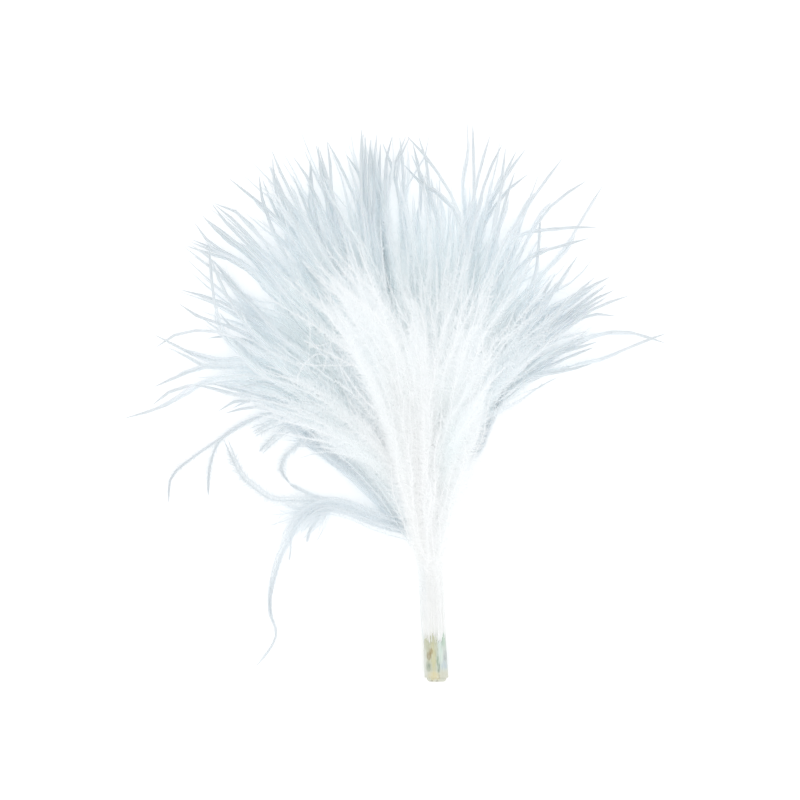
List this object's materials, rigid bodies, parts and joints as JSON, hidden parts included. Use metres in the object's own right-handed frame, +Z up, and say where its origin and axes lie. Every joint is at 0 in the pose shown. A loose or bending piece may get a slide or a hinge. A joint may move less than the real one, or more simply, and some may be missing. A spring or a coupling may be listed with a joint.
{
  "type": "ostrich feather",
  "caption": "Short white ostrich plume lying on its back: cut quill stub, slim stem of pressed barbs, and a full fan of loose fluffy locks.",
  "frame": {"origin": "middle of the feather's footprint, on the surface it lies on", "axes": "+Y from the cut quill towards the tips, +Z up from the surface, +X to the right seen from above with the tips up"},
  "size_m": [0.1266, 0.1312, 0.0265],
  "materials": {
    "plume": "matte, soft and slightly see-through barbs; the bare quill at the stem's end is horn, olive to pale green with a satin sheen"
  },
  "bodies": {
    "root": {"feather": "plume"}
  },
  "joints": []
}
